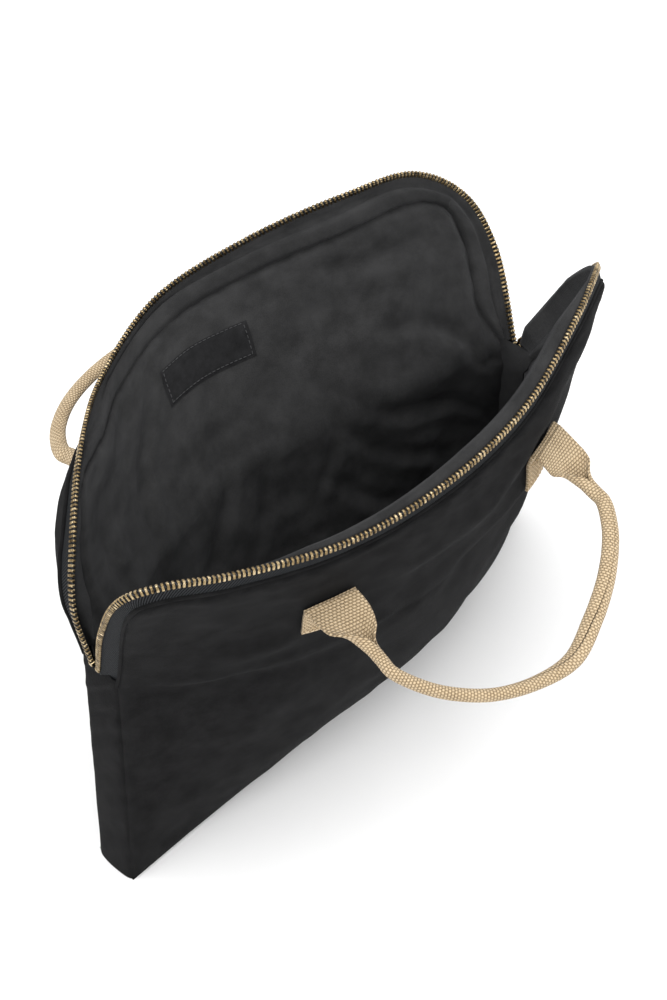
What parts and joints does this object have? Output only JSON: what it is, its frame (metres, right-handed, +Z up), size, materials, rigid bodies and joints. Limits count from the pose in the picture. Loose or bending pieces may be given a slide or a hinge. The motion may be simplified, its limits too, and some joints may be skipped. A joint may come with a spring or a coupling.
{
  "type": "laptop sleeve",
  "caption": "Padded canvas laptop sleeve with a wraparound metal zip, slim gussets and webbing handles, standing open.",
  "frame": {"origin": "middle of the base, on the surface that the bottom gusset stands on", "axes": "+X to the slider's end of the zip, -Y out of the front panel, +Z up"},
  "size_m": [0.4078, 0.3905, 0.2852],
  "materials": {
    "canvas": "charcoal black plain-weave cotton canvas",
    "foam": "closed-cell foam padding, hidden in the wall",
    "lining": "soft black brushed lining",
    "zip_tape": "dark blue-grey twill tape",
    "brass": "antique brass, lightly worn",
    "webbing": "natural tan basket-weave webbing",
    "label": "plain black woven label, blank"
  },
  "bodies": {
    "shell": {"front_canvas_lower": "canvas", "front_foam_lower": "foam", "front_lining_lower": "lining", "front_fold": "canvas", "back_canvas_lower": "canvas", "back_foam_lower": "foam", "back_lining_lower": "lining", "back_fold": "canvas", "left_gusset": "canvas", "left_gusset_lining": "lining", "right_gusset": "canvas", "right_gusset_lining": "lining", "bottom_gusset": "canvas", "bottom_gusset_lining": "lining", "zip_end_tape": "zip_tape", "engaged_teeth": "brass", "bottom_stop": "brass"},
    "front_flap": {"front_canvas_flap": "canvas", "front_foam_flap": "foam", "front_lining_flap": "lining", "front_facing": "lining", "front_zip_tape": "zip_tape", "front_zip_teeth": "brass", "front_top_stop": "brass", "front_tab_left": "webbing", "front_tab_right": "webbing"},
    "back_flap": {"back_canvas_flap": "canvas", "back_foam_flap": "foam", "back_lining_flap": "lining", "back_facing": "lining", "back_zip_tape": "zip_tape", "back_zip_teeth": "brass", "back_top_stop": "brass", "back_tab_left": "webbing", "back_tab_right": "webbing", "inner_label": "label"},
    "front_handle": {"front_grip": "webbing", "front_strap_left": "webbing", "front_strap_right": "webbing"},
    "back_handle": {"back_grip": "webbing", "back_strap_left": "webbing", "back_strap_right": "webbing"},
    "zip_slider": {"slider": "brass"},
    "zip_puller": {"puller": "brass"}
  },
  "joints": [
    {"name": "front_flap_hinge", "type": "hinge", "parent": "shell", "child": "front_flap", "pos_m": [0, -0.002, 0.166], "axis": [1, 0, 0], "range_deg": [-8, 20], "deforming": ["front_fold"]},
    {"name": "back_flap_hinge", "type": "hinge", "parent": "shell", "child": "back_flap", "pos_m": [0, 0.002, 0.166], "axis": [-1, 0, 0], "range_deg": [-8, 20], "deforming": ["back_fold"]},
    {"name": "front_handle_hinge", "type": "hinge", "parent": "front_flap", "child": "front_handle", "pos_m": [0.0158, -0.09338, 0.20198], "axis": [-0.999, 0.0438, 0.0015], "range_deg": [-28, 28]},
    {"name": "back_handle_hinge", "type": "hinge", "parent": "back_flap", "child": "back_handle", "pos_m": [0.00389, 0.07718, 0.20517], "axis": [0.9926, -0.072, 0.0974], "range_deg": [-50, 28]},
    {"name": "slider_slide", "type": "slide", "parent": "shell", "child": "zip_slider", "axis": [0, 0, 1], "range_m": [-0.009, 0]},
    {"name": "puller_hinge", "type": "hinge", "parent": "zip_slider", "child": "zip_puller", "pos_m": [0.1892, 0, 0.1657], "axis": [0, -1, 0], "range_deg": [0, 110]}
  ]
}
